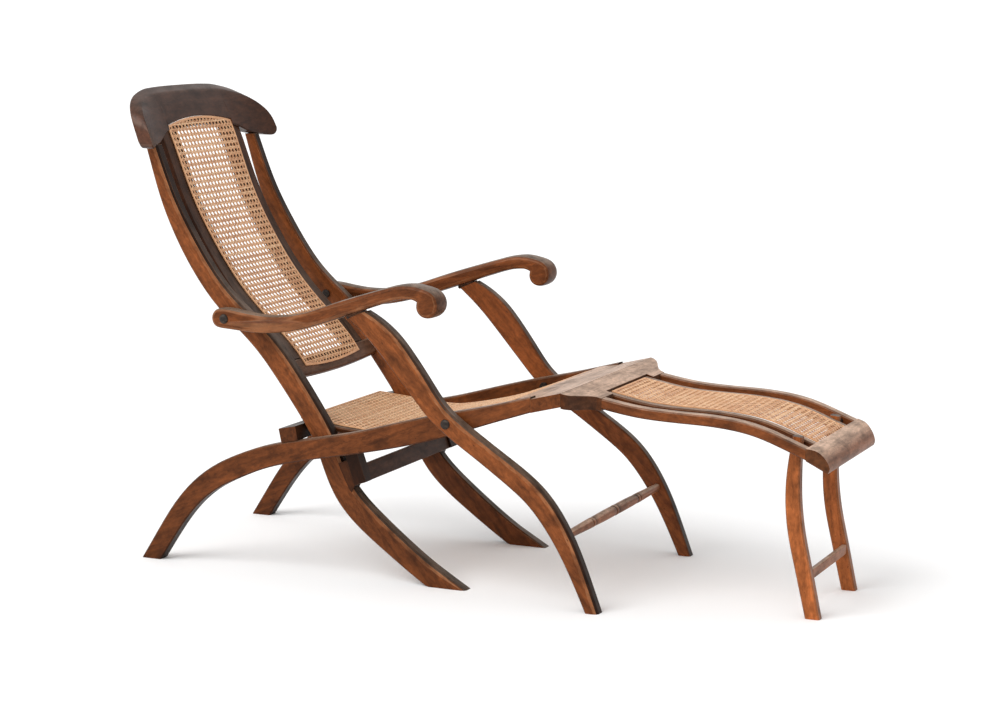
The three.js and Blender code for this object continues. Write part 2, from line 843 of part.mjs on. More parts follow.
// Crest rail, section by section across the chair
const crestShoulder = crestShoulderShare * chairHeight;
function crestTopAt(y) {
  const out = Math.min(Math.abs(y) / crestHalfWidth, 1);
  return THREE.MathUtils.lerp(crestShoulder, chairHeight, (1 - out ** crestTopPower) ** crestTopRoot);
}
function crestArchAt(y) {
  return crestUnderside + crestNotchRise + crestArchRise * (1 - (y / backCaneTopHalfWidth) ** 2);
}
function crestCoveAt(y) {
  const out = Math.abs(y);
  const fromStile = THREE.MathUtils.clamp((stileInner - out) / (stileInner - backCaneTopHalfWidth), 0, 1);
  const cove = 1 - (1 - fromStile) ** 2;
  const ear = THREE.MathUtils.smoothstep(out, stileOuter, stileOuter + crestEarRun);
  const tip = Math.max(0, out - crestHalfWidth + crestTipRadius) / crestTipRadius;
  const rounding = crestTipRadius * (1 - Math.sqrt(1 - Math.min(tip, 1) ** 2));
  return crestUnderside + crestCoveRise * cove - crestEarDrop * ear + rounding;
}
function crestSweptAt(y, z) {
  const sweep = crestSweep * Math.abs(y / crestHalfWidth) ** crestSweepPower;
  return crestFaceXShare * footSpan + sweep + crestLean * (z - crestUnderside);
}
function crestFaceAt(y, z) {
  const rollStart = crestRollShare * chairHeight;
  const roll = Math.max(0, (z - rollStart) / (chairHeight - rollStart)) ** 2;
  return crestSweptAt(y, z) - crestSetBack * roll;
}
function crestRing(y, lower, grow) {
  const low = lower - grow;
  const high = Math.max(crestTopAt(y), low + crestLeastHeight) + grow;
  const front = (z, inset) => new THREE.Vector3(crestFaceAt(y, z) + grow - inset, y, z);
  const back = (z, inset) => new THREE.Vector3(crestSweptAt(y, z) - crestThickness - grow + inset, y, z);
  const brow = Math.max(high - crestTopFall, low + crestLeastBrow);
  const levels = crestLevelShares.map((share) => THREE.MathUtils.lerp(low, brow, share));
  return [
    front(low + boardEdge, 0),
    ...levels.map((z) => front(z, 0)),
    front(brow - boardEdge, 0),
    front(brow, boardEdge),
    back(high, boardEdge),
    back(high - boardEdge, 0),
    back(low + boardEdge, 0),
    back(low, boardEdge),
    front(low, boardEdge),
  ];
}
function crestRail(grow = 0) {
  const notchSide = backCaneTopHalfWidth + jointGap - grow;
  const outer = crestStationShares.map((share) => share * crestHalfWidth);
  const ringsAt = (places, lowerAt) => places.map((y) => crestRing(y, lowerAt(y), grow));
  const notch = [...outer.filter((y) => y < notchSide), notchSide];
  const wing = [notchSide + jointGap, ...outer.filter((y) => y > notchSide + jointGap)];
  const mirror = (places) => places.map((y) => -y).reverse();
  return loft([
    ...ringsAt(mirror(wing), crestCoveAt),
    ...ringsAt([...mirror(notch), 0, ...notch], crestArchAt),
    ...ringsAt(wing, crestCoveAt),
  ]);
}
add("backFrame", "crest_rail", crestRail(), finishes.darkWood);

// Back panel: cane in front, two panel stiles and a bottom rail behind it
const backCaneLine = splineOf(backCaneShares.map(sidePoint));
const backLength = backCaneLine.getLength();
function sweptEnd(y) {
  const rise = backCaneSweep * (y / backCaneHalfWidth) ** 2;
  return 1 - rise / backLength;
}
function archedStart(y) {
  return (crestArchAt(0) - crestArchAt(y)) / backLength + backCaneTopShare * (y / backCaneTopHalfWidth) ** 2;
}
add(
  "backFrame",
  "back_cane",
  caneSheet({
    line: backCaneLine,
    halfWidth: backCaneHalfWidth,
    startHalfWidth: backCaneTopHalfWidth,
    columns: 6,
    rows: 15,
    startAt: archedStart,
    endAt: sweptEnd,
  }),
  finishes.cane,
);
const frameSetBack = caneThickness / 2 + caneBedding;
const bottomRailReach = bottomRailHeight - 2 * backCaneSweep; // up the cane's line from its end
const bottomRailTopShare = 1 - bottomRailReach / backLength;
const bottomRailPlace = stationAt(backCaneLine, 1 - bottomRailReach / 2 / backLength);
addPair(
  "backFrame",
  "back_panel_stile",
  cut(
    sawnBoard({
      line: lineBeside(
        backCaneLine,
        -frameSetBack - panelStileThickness / 2,
        panelStileTopShare,
        bottomRailTopShare - panelStileEndGap / backLength,
      ),
      depth: panelStileThickness,
      yLow: panelStileInner,
      yHigh: panelStileOuter,
      endFace: bottomRailPlace.normal,
    }),
    crestRail(jointGap),
  ),
  finishes.wood,
);
function bottomRail() {
  const { point, tangent, normal } = bottomRailPlace;
  const stations = 12;
  const rings = [];
  for (let i = 0; i <= stations; i += 1) {
    const y = THREE.MathUtils.lerp(jointGap - stileInner, stileInner - jointGap, i / stations);
    const height = bottomRailHeight - backCaneSweep * (y / stileInner) ** 2;
    const centre = moved(
      moved(point, tangent, (height - bottomRailReach) / 2),
      normal,
      -frameSetBack - bottomRailEase - bottomRailThickness / 2,
    );
    const spread = (along, back) => {
      const spot = moved(moved(centre, tangent, along), normal, back);
      return new THREE.Vector3(spot.x, y, spot.y);
    };
    const halfHeight = height / 2;
    const halfThickness = bottomRailThickness / 2;
    rings.push([
      spread(-halfHeight, boardEdge - halfThickness),
      spread(-halfHeight, halfThickness - boardEdge),
      spread(boardEdge - halfHeight, halfThickness),
      spread(halfHeight - boardEdge, halfThickness),
      spread(halfHeight, halfThickness - boardEdge),
      spread(halfHeight, boardEdge - halfThickness),
      spread(halfHeight - boardEdge, -halfThickness),
      spread(boardEdge - halfHeight, -halfThickness),
    ]);
  }
  return loft(rings);
}
add("backFrame", "back_bottom_rail", bottomRail(), finishes.wood);

// Wedge blocks between the middle legs and the hanger arms
const wedgeTop = moved(moved(hangerTop, hangerDown, wedgeTopShare * hangerLength), hangerForward, -jointGap);
const wedgeLow = moved(moved(hangerTop, hangerDown, hangerLength), hangerForward, -jointGap);
const wedgeTip = moved(moved(wedgeLow, hangerDown, wedgeTail), hangerForward, -stileDepth / 2);
addPair(
  "backFrame",
  "wedge_block",
  cut(
    prism(
      [wedgeTop, wedgeLow, wedgeTip, moved(wedgeTop, hangerForward, -stileDepth / 2)],
      stileInner,
      stileOuter,
    ),
    sawnBoard({ ...stile, grow: jointGap }),
  ),
  finishes.wood,
);
const armNutFace = stileInner - jointGap;
addPair(
  "backFrame",
  "arm_bolt_nut",
  turned(armPivot, [
    [0, armNutFace - nutHeight],
    [nutRadius * nutDomeShare, armNutFace - nutHeight],
    [nutRadius, armNutFace - nutHeight / 2],
    [nutRadius, armNutFace],
    [boltRadius, armNutFace],
    [boltRadius, stileOuter],
    [0, stileOuter],
  ]),
  finishes.iron,
);

// Hinge between a front leg's top and the arm
const hingeAlong = new THREE.Vector2(Math.cos(hingeSlope), Math.sin(hingeSlope));
const hingeUp = leftOf(hingeAlong);
const leafLow = legInner + leafMargin;
const leafHigh = legOuter - leafMargin;
const leafDrop = leafGap / 2 + leafThickness + jointGap;
function leafPlate(side, from, grow = 0) {
  const centre = moved(
    moved(hingePivot, hingeAlong, (from + leafLength) / 2),
    hingeUp,
    side * (leafGap + leafThickness) / 2,
  );
  return barOutline(centre, hingeAlong, leafLength - from + 2 * grow, leafThickness + 2 * grow);
}
function hingeLeaf(side, segments) {
  const thickness = (leafHigh - leafLow) / 3;
  const clearance = knuckleRadius + runningClearance;
  let leaf = prism(leafPlate(side, clearance), leafLow, leafHigh);
  for (const segment of segments) {
    const yLow = leafLow + segment * thickness + jointGap / 2;
    const yHigh = leafLow + (segment + 1) * thickness - jointGap / 2;
    const barrel = crossRod(hingePivot, knuckleRadius, yLow, yHigh, hingeSides);
    leaf = join(leaf, barrel, prism(leafPlate(side, 0), yLow, yHigh));
  }
  const pinRoom = hingePinRadius + runningClearance;
  return cut(leaf, crossRod(hingePivot, pinRoom, leafLow - cutOverrun, leafHigh + cutOverrun, hingeSides));
}
addPair("frontLegs", "hinge_leaf_lower", hingeLeaf(-1, [1]), finishes.iron);
addPair("arms", "hinge_leaf_upper", hingeLeaf(1, [0, 2]), finishes.iron);
addPair(
  "frontLegs",
  "arm_hinge_pin",
  crossRod(hingePivot, hingePinRadius, leafLow, leafHigh, hingeSides),
  finishes.iron,
);
const knuckleRoom = crossRod(
  hingePivot,
  knuckleRadius + runningClearance,
  legInner - cutOverrun,
  legOuter + cutOverrun,
);

// Front legs
const legTop = moved(
  moved(hingePivot, hingeAlong, (leafLength + knuckleRadius) / 2 + leafMargin),
  hingeUp,
  -leafDrop,
);
const legLine = splineOf([legTop, ...legShares.map(sidePoint)]);
addPair(
  "frontLegs",
  "front_leg",
  cut(
    sawnBoard({
      line: legLine,
      depth: legDepth,
      depthShares: legDepthShares,
      yLow: legInner,
      yHigh: legOuter,
      rounded: true,
      startFace: hingeAlong,
      endFace: level,
    }),
    knuckleRoom,
    hole(legPivot, boltRadius, legInner - cutOverrun, legOuter + cutOverrun),
  ),
  finishes.wood,
);
function stretcher() {
  const half = legInner - jointGap;
  const profile = [
    [0, -half],
    [stretcherEndRadius, -half],
  ];
  for (const share of ringPlaceShares) {
    const middle = share * half;
    const swell = THREE.MathUtils.lerp(stretcherRadius, stretcherEndRadius, Math.abs(share) ** 2);
    for (const side of [-1, 1]) {
      const groove = middle + side * ringPitch;
      const width = ringWidthShare * ringPitch;
      profile.push([swell, groove - width], [swell - ringGroove, groove], [swell, groove + width]);
    }
  }
  profile.push([stretcherEndRadius, half], [0, half]);
  return turned(sidePoint(stretcherShare), profile, 14);
}
add("frontLegs", "leg_stretcher", stretcher(), finishes.wood);

// Arms: a side outline with a scroll, swelling and flaring towards the front
function armOutline() {
  const scroll = sidePoint(scrollShare);
  const armEnd = moved(armPivot, level, -armEndShift);
  const around = (centre, radius, angle) =>
    moved(centre, new THREE.Vector2(Math.cos(angle), Math.sin(angle)), radius);
  const crown = splineOf([
    armPivot.clone().add(new THREE.Vector2(crownEndShift, armEndRadius)),
    ...crownShares.map(sidePoint),
    around(scroll, scrollRadius, Math.PI / 2),
  ]);
  const crotchAngle = THREE.MathUtils.degToRad(-200);
  const underside = splineOf([
    ...undersideShares.map(sidePoint),
    armPivot.clone().add(new THREE.Vector2(undersideEndShift, -armEndRadius)),
  ]);
  const points = [...crown.getSpacedPoints(14)];
  const turns = 14;
  for (let i = 1; i <= turns; i += 1) {
    const angle = THREE.MathUtils.lerp(Math.PI / 2, crotchAngle, i / turns);
    const narrowing = 1 - (1 - Math.min((Math.PI / 2 - angle) / Math.PI, 1)) ** 2;
    points.push(around(scroll, THREE.MathUtils.lerp(scrollRadius, scrollEyeRadius, narrowing), angle));
  }
  points.push(...underside.getSpacedPoints(14));
  const endSteps = 7;
  for (let i = 1; i < endSteps; i += 1) {
    points.push(around(armEnd, armEndRadius, -Math.PI / 2 - (i / endSteps) * Math.PI));
  }
  return points;
}
const armInnerFace = railInner + layerGap;
const armOuterFace = armInnerFace + armRearThickness;
function arm() {
  const shape = new THREE.Shape(armOutline());
  const geometry = new THREE.ExtrudeGeometry(shape, {
    depth: armRearThickness - 2 * armRound,
    bevelThickness: armRound,
    bevelSize: armRound,
    bevelOffset: -armRound,
    bevelSegments: 2,
  });
  geometry.rotateX(Math.PI / 2);
  const position = geometry.getAttribute("position");
  const scrollX = scrollShare[0] * footSpan;
  for (let i = 0; i < position.count; i += 1) {
    const swell = THREE.MathUtils.smoothstep(position.getX(i), armPivot.x + armPlainLength, scrollX);
    const inner = armInnerFace + armFlare * swell;
    const thickness = THREE.MathUtils.lerp(armRearThickness, armFrontThickness, swell);
    const across = (armRound + -position.getY(i)) / armRearThickness;
    position.setY(i, inner + across * thickness);
  }
  const recess = prism(leafPlate(1, 0, jointGap), leafLow - jointGap, leafHigh + jointGap);
  return cut(
    geometry,
    recess,
    knuckleRoom,
    hole(armPivot, boltRadius, armInnerFace - cutOverrun, armOuterFace + cutOverrun),
    hole(armPivot, boltHeadRadius, armOuterFace, armOuterFace + cutOverrun),
  );
}
addPair("arms", "arm", arm(), finishes.wood);
addPair("arms", "arm_bolt", domedBolt(armPivot, armOuterFace, armInnerFace), finishes.iron);

// Leg rest: head board with ogee sides, rails, strips, cane and end board
const headRearX = seatFrontX + jointGap;
const headFrontX = restPoint(legRestStartShare).x - jointGap;
function headTop(x) {
  const fall = THREE.MathUtils.mapLinear(x, headRearX, headFrontX, 0, headTopFallShare * chairHeight);
  return boardFront.y - fall;
}
function headThickness(x) {
  return headRearThickness - THREE.MathUtils.mapLinear(x, headRearX, headFrontX, 0, headThinning);
}
function headOutline() {
  const half = [new THREE.Vector2(headRearX, railOuter)];
  for (const share of ogeeStationShares) {
    const drop = THREE.MathUtils.smootherstep(share, 0, 1);
    const x = headRearX + share * ogeeReach;
    const y = THREE.MathUtils.lerp(railOuter, legRestRailOuter, drop);
    half.push(new THREE.Vector2(Math.min(x, headFrontX - share), y));
  }
  const notchHalf = legRestCaneHalfWidth + jointGap + stripWidth + jointGap;
  half.push(new THREE.Vector2(headFrontX, legRestRailOuter));
  half.push(new THREE.Vector2(headFrontX, notchHalf));
  half.push(new THREE.Vector2(headFrontX - headNotch, notchHalf));
  return mirroredOutline(half);
}
add(
  "legRest",
  "leg_rest_head_board",
  cut(
    plate(headOutline(), headTop, headThickness),
    ...pegHoles(headRearX - cutOverrun, headRearX + pegSeat + runningClearance),
  ),
  finishes.wood,
);
const restEnd = restPoint(legRestEndShare);
const restRailLine = splineOf([restPoint(legRestStartShare), ...legRestLineShares.map(restPoint), restEnd]);
const restStripStart = restPoint(legRestStripStartShare);
const restStripLine = splineOf([restStripStart, ...legRestLineShares.map(restPoint), restEnd]);
addPair(
  "legRest",
  "leg_rest_rail",
  cut(
    sawnBoard({
      line: restRailLine,
      depth: legRestRailDepth,
      yLow: restRailInner,
      yHigh: legRestRailOuter,
      startFace: upright,
      endFace: upright,
    }),
    hole(restLegPivot, boltRadius, restRailInner - cutOverrun, legRestRailOuter - boltRadius),
  ),
  finishes.wood,
);
addPair(
  "legRest",
  "leg_rest_panel_strip",
  sawnBoard({
    line: restStripLine,
    depth: stripDepth,
    yLow: stripInner,
    yHigh: stripInner + stripWidth,
    startFace: upright,
    endFace: upright,
  }),
  finishes.wood,
);
add(
  "legRest",
  "leg_rest_cane",
  caneSheet({
    line: lineBeside(restStripLine, stripDepth / 2 - caneThickness, 0, legRestCaneEndShare),
    halfWidth: legRestCaneHalfWidth,
    columns: 5,
    rows: 13,
  }),
  finishes.cane,
);
const endBoardTop = splineOf(endBoardShares.map(restPoint)).getSpacedPoints(12);
function endBoard() {
  const outline = [...endBoardTop, restPoint(endBoardHeelShare)];
  const board = prism(outline, -legRestRailOuter, legRestRailOuter);
  const position = board.getAttribute("position");
  const tipX = Math.max(...outline.map((point) => point.x));
  for (let i = 0; i < position.count; i += 1) {
    const narrowing = THREE.MathUtils.mapLinear(position.getX(i), outline[0].x, tipX, 1, endBoardTipShare);
    position.setY(i, position.getY(i) * narrowing);
  }
  return board;
}
add("legRest", "leg_rest_end_board", endBoard(), finishes.wood);
addPair(
  "legRest",
  "leg_rest_peg",
  pegRod(pegRadius, boardFront.x - pegReach, headRearX + pegSeat),
  finishes.wood,
);

// Legs of the leg rest
const restLegInner = stripInner + stripWidth + layerGap;
const restLegOuter = restLegInner + restLegThickness;
addPair(
  "legRest",
  "leg_rest_pivot_pin",
  crossRod(restLegPivot, boltRadius, restLegInner, legRestRailOuter - boltRadius - runningClearance),
  finishes.iron,
);
addPair(
  "legRestLegs",
  "leg_rest_leg",
  cut(
    sawnBoard({
      line: splineOf(restLegShares.map(restPoint)),
      depth: restLegDepth,
      depthShares: restLegDepthShares,
      yLow: restLegInner,
      yHigh: restLegOuter,
      endFace: level,
    }),
    hole(restLegPivot, boltRadius, restLegInner - cutOverrun, restLegOuter + cutOverrun),
  ),
  finishes.wood,
);
add(
  "legRestLegs",
  "leg_rest_stretcher",
  prism(
    barOutline(restPoint(restStretcherShare), level, restStretcherThickness, restStretcherHeight),
    jointGap - restLegInner,
    restLegInner - jointGap,
  ),
  finishes.wood,
);

// The origin is on the floor, under the middle of the chair's box
const chair = new THREE.Group();
for (const group of Object.values(groups)) chair.add(group);
const box = new THREE.Box3().setFromObject(chair);
for (const group of Object.values(groups)) group.position.x = -(box.min.x + box.max.x) / 2;

export default chair;
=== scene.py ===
"""Looks of a folding steamer deck chair: waxed walnut, iron fittings and hand-woven cane."""

import json
import math
import zlib

import bpy
import numpy as np
from mathutils import Matrix, Vector
from mathutils.bvhtree import BVHTree

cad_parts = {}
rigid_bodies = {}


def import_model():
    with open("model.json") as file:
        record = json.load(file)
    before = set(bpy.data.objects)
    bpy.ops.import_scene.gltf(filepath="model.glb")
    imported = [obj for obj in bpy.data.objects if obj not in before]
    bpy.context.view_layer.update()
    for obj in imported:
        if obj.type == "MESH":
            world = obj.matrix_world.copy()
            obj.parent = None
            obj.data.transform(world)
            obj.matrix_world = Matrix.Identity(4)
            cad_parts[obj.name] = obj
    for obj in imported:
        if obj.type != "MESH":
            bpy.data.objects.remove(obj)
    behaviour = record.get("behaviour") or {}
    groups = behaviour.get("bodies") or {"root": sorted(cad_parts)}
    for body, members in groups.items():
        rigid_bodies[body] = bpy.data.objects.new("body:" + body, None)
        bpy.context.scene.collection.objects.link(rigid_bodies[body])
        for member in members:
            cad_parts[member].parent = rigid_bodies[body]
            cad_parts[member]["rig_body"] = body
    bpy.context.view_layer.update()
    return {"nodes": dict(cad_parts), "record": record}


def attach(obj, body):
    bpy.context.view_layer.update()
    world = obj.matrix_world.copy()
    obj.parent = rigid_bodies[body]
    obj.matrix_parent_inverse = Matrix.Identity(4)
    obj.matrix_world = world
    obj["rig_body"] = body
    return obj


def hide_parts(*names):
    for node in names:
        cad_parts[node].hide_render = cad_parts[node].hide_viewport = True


# Metres and degrees throughout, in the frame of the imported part
MM = 0.001

# Camera
CAMERA_PLACE = (2.15381, -4.625, 1.288)
CAMERA_YAW = -24.88
CAMERA_PITCH = -8.99
CAMERA_ROLL = -0.11
CAMERA_LENS = 85.25
CAMERA_SENSOR = 36
CAMERA_REACH = 2000

# Floor and light
FLOOR_SIZE = 1200
FLOOR_PAINT = (0.98, 0.98, 0.98)
SKY_LEVEL = 0.84
SUN_TOWARDS = (-0.35, -0.6, 0.72)
SUN_POWER = 1.65
SUN_SPREAD = 45

# Softened edges of the boards and fittings
EDGE_WIDTH = 1.6 * MM
IRON_EDGE_WIDTH = 0.5 * MM
EDGE_SEGMENTS = 2
EDGE_ANGLE = 32
SMOOTH_ANGLE = 34
WELD_REACH = 0.01 * MM  # corners nearer than this are one corner

# Curved boards whose small bends are rounded off: edges over the angle stay
CURVED = (
    "back_stile", "front_leg", "seat_rail", "leg_rest_rail", "leg_rest_panel_strip", "leg_rest_leg",
)
CURVED_ANGLE = 14.5
CURVED_LEVEL = 2

# Curved boards whose rounded sides are smoothed too, and turned pieces
SOFT = ("arm", "crest_rail")
SOFT_ANGLE = 36
TURNED = ("leg_stretcher", "front_leg_bolt", "arm_bolt", "arm_bolt_nut")
TURNED_ANGLE = 35
TURNED_LEVEL = 1

# Brightness of each board's painted light and shade, partly also its own tone: its lit sides, the painted
# sheen on its tops and the painted shade on its fronts, and how worn its corners are
TONES = {
    "back_stile": (0.9, 0.6, 0.8, 1.0),
    "seat_rail": (0.66, 0.9, 1.0, 0.7),
    "front_leg": (0.95, 0.6, 1.2, 1.0),
    "arm": (0.7, 0.7, 4.5, 0.3),
    "hanger_arm": (0.1, 0.3, 1.0, 0.1),
    "hanger_cross_bar": (0.5, 0.4, 2.0, 0.2),
    "wedge_block": (0.26, 0.3, 1.0, 0.2),
    "back_panel_stile": (0.25, 0.3, 2.2, 0.0),
    "back_bottom_rail": (0.4, 0.6, 4.2, 0.1),
    "back_stop_bar": (0.4, 0.2, 1.5, 0.3),
    "seat_panel_rail": (0.4, 0.5, 2.0, 0.3),
    "seat_panel_rear_rail": (0.4, 0.5, 2.0, 0.3),
    "seat_front_board": (0.6, 1.9, 2.0, 0.3),
    "leg_rest_head_board": (0.36, 1.7, 3.0, 0.1),
    "leg_rest_end_board": (0.42, 2.2, 8.0, 0.1),
    "leg_rest_rail": (0.8, 1.6, 2.0, 0.8),
    "leg_rest_panel_strip": (0.45, 1.1, 1.5, 0.5),
    "leg_rest_leg": (1.7, 0.4, 9.0, 2.0),
    "leg_rest_stretcher": (0.9, 1.6, 10.0, 0.3),
    "leg_stretcher": (0.1, 1.9, 9.0, 0.0),
}

# Boards with painted shade that darkens them downwards: from this height, to this one, to this share
SHADED = {
    "back_stile": (0.1, 0.36, 0.62),
    "front_leg": (0.0, 0.3, 0.8),
    "seat_rail": (0.0, 0.3, 0.7),
}

# Painted shade in turned grooves: places across the chair, width, share of brightness
GROOVES = {"leg_stretcher": ((135.1 * MM, 121.1 * MM, 7 * MM), 4.6 * MM, 0.06)}

# Patterns of the materials: scale on each axis, detail, distortion, roughness
STREAKS = ((3.0, 95.0, 95.0), 6.0, 0.7, 0.62)
FIGURE = ((4.5, 30.0, 30.0), 3.0, 1.4, 0.55)
PORES = ((55.0, 1150.0, 1150.0), 2.0, 0.0, 0.55)
STAINS = ((16.0, 30.0, 30.0), 5.0, 0.4, 0.6)
SPOTS = ((90.0, 160.0, 160.0), 3.0, 0.3, 0.55)
MOTTLE = ((70.0, 140.0, 140.0), 6.0, 0.5, 0.65)
IRON_PATCHES = ((140.0, 140.0, 140.0), 5.0, 0.0, 0.55)
IRON_SKIN = ((1400.0, 1400.0, 1400.0), 3.0, 0.0, 0.55)
CANE_FIBRES = ((30.0, 2600.0, 60.0), 3.0, 0.0, 0.55)
CANE_PATCHES = ((14.0, 40.0, 9.0), 3.0, 0.0, 0.55)

# Ranges of a normal's part towards y or z over which one look turns into the next: painted shade on fronts,
# the lit sides, the painted sheen on tops and the worn corners
SIDE_FROM = (0.52, 0.86)
TOP_FROM = (0.45, 0.85)
CORNER_FROM = (0.84, 0.91)
CORNER_TO = (0.94, 0.975)

# Height of the finest relief
WOOD_RELIEF = 0.4 * MM
IRON_RELIEF = 0.2 * MM
CANE_RELIEF = 0.15 * MM

# Woven cane
CANE_PITCH = 13.8 * MM
STRAND_WIDTH = 2.5 * MM
STRAND_THICKNESS = 0.85 * MM
STRAND_MARK = 2.5 * MM  # across a strand in its own pattern
PAIR_SPREAD = 3.1 * MM  # between the middles of two paired strands
WARP_LEVEL = -0.7 * MM
WEFT_LEVEL = 0.2 * MM
SLANT_LEVEL = -0.2 * MM
SLANT_RISE = 0.3 * MM  # of the first slanting set, which runs between warp and weft
OUTER_SLANT_RISE = -0.9 * MM  # of the second set, which runs outside them
RIM_WIDTH = 5.5 * MM
RIM_TOP = 1.1 * MM
RIM_BOTTOM = -1.4 * MM
STEPS_PER_CELL = 4
END_STEPS = 25
CANE_TONES = {"seat_cane": 0.3, "back_cane": 0.12, "leg_rest_cane": 0.12}
CANE_LIFTS = {"leg_rest_cane": 3.6 * MM}
CANE_ENDS = {
    "back_cane": ((0, -5 * MM), (0, 0)),
    "seat_cane": ((-38 * MM, -38 * MM), (0, 0)),
    "leg_rest_cane": ((0, 0), (18 * MM, 18 * MM)),
}  # how far the middles and corners of a sheet's start and end are moved along it
THICK_CANE = {"leg_rest_cane": (3.2 * MM, 1.3 * MM), "seat_cane": (3.0 * MM, 1.2 * MM)}

STRAND_INSET_SHARE = 0.985  # of the outline, so that strands end under the rim
STRAND_SHOULDER_SHARES = (0.8, 0.7)  # of half its width and of its thickness
RIM_SECTION = (
    (0, RIM_BOTTOM),
    (0, RIM_TOP * 0.6),
    (0.25, RIM_TOP),
    (0.75, RIM_TOP),
    (1, RIM_TOP * 0.6),
    (1, RIM_BOTTOM),
)  # share of the rim's width, level

# How a CAD cane sheet is measured
SHEET_STEPS = 240
SHEET_RAYS = 25
SHEET_RAY_SHARE = 0.93  # of the sheet's width that the rays cover
SHEET_MARGIN = 1 * MM  # left free at both ends
SHEET_MIDDLE = 1.5 * MM  # below its upper face
SMOOTHED_STEPS = 9
TANGENT_REACH = 4 * MM
UPPER_SIDE = (0.35, 1.0)  # roughly where a sheet's upper face looks, in x and z
END_ZONES = (0.15, 0.85)  # shares of the length before and after which a corner is at an end
MIDDLE_SHARE = 0.25
CORNER_SHARE = 0.98

# Ledges under the start of the cane, on which its first openings look dark: sheet,
# reach along it, margin at its sides, thickness, slot
LEDGE_TOP = -2.1 * MM
LEDGE_COLUMNS = 24
LEDGE_ROWS = 4
LEDGES = {
    "crest_ledge": ("back_cane", 19 * MM, 22 * MM, 11 * MM, "dark_wood"),
    "rest_head_ledge": ("leg_rest_cane", 17 * MM, 1 * MM, 8 * MM, "wood"),
}


def clear_scene():
    for item in list(bpy.data.objects):
        bpy.data.objects.remove(item)


def seed_of(name):
    """A number from 0 to 1 that is the same for the same name in each run."""
    return (zlib.crc32(name.encode()) % 10007) / 10007


class Tree:
    """Adds shader nodes and links them by socket name."""

    def __init__(self, name):
        self.material = bpy.data.materials.new(name)
        self.material.use_nodes = True
        self.tree = self.material.node_tree
        self.tree.nodes.clear()

    def put(self, socket, value):
        if isinstance(value, bpy.types.NodeSocket):
            self.tree.links.new(value, socket)
        else:
            socket.default_value = value

    def add(self, kind, inputs=None, **settings):
        node = self.tree.nodes.new(kind)
        for key, value in settings.items():
            setattr(node, key, value)
        for key, value in (inputs or {}).items():
            self.put(node.inputs[key], value)
        return node

    def noise(self, place, pattern):
        """A noise from 0 to 1 with its own scale on each axis."""
        scale, detail, distortion, roughness = pattern
        spread = self.add("ShaderNodeMapping", {"Vector": place, "Scale": scale})
        inputs = {"Vector": spread.outputs[0], "Scale": 1.0, "Detail": detail}
        inputs.update({"Distortion": distortion, "Roughness": roughness})
        return self.add("ShaderNodeTexNoise", inputs).outputs["Fac"]

    def between(self, value, low, high, to_low=0.0, to_high=1.0):
        node = self.add(
            "ShaderNodeMapRange",
            {"Value": value, "From Min": low, "From Max": high, "To Min": to_low, "To Max": to_high},
        )
        return node.outputs["Result"]

    def times(self, a, b):
        return self.add("ShaderNodeMath", {0: a, 1: b}, operation="MULTIPLY").outputs[0]

    def plus(self, a, b):
        return self.add("ShaderNodeMath", {0: a, 1: b}, operation="ADD").outputs[0]

    def size(self, value):
        return self.add("ShaderNodeMath", {0: value}, operation="ABSOLUTE").outputs[0]

    def shaded(self, colour, level):
        """The colour made darker or brighter by a level."""
        grey = self.add("ShaderNodeCombineColor", {0: level, 1: level, 2: level}).outputs[0]
        return self.blend(1.0, colour, grey, "MULTIPLY")

    def bump(self, height, strength, distance):
        inputs = {"Height": height, "Strength": strength, "Distance": distance}
        return self.add("ShaderNodeBump", inputs).outputs[0]

    def blend(self, factor, a, b, kind="MIX"):
        node = self.add("ShaderNodeMix", data_type="RGBA", blend_type=kind)
        self.put(node.inputs[0], factor)
        self.put(node.inputs[6], a)
        self.put(node.inputs[7], b)
        return node.outputs[2]

    def ramp(self, factor, stops):
        node = self.add("ShaderNodeValToRGB", {"Fac": factor})
        points = node.color_ramp.elements
        while len(points) < len(stops):
            points.new(0.5)
        for point, (place, colour) in zip(points, stops):
            point.position = place
            point.color = (*colour, 1)
        return node.outputs["Color"]

    def finish(self, inputs):
        shader = self.add("ShaderNodeBsdfPrincipled", inputs)
        self.add("ShaderNodeOutputMaterial", {"Surface": shader.outputs[0]})
        return self.material


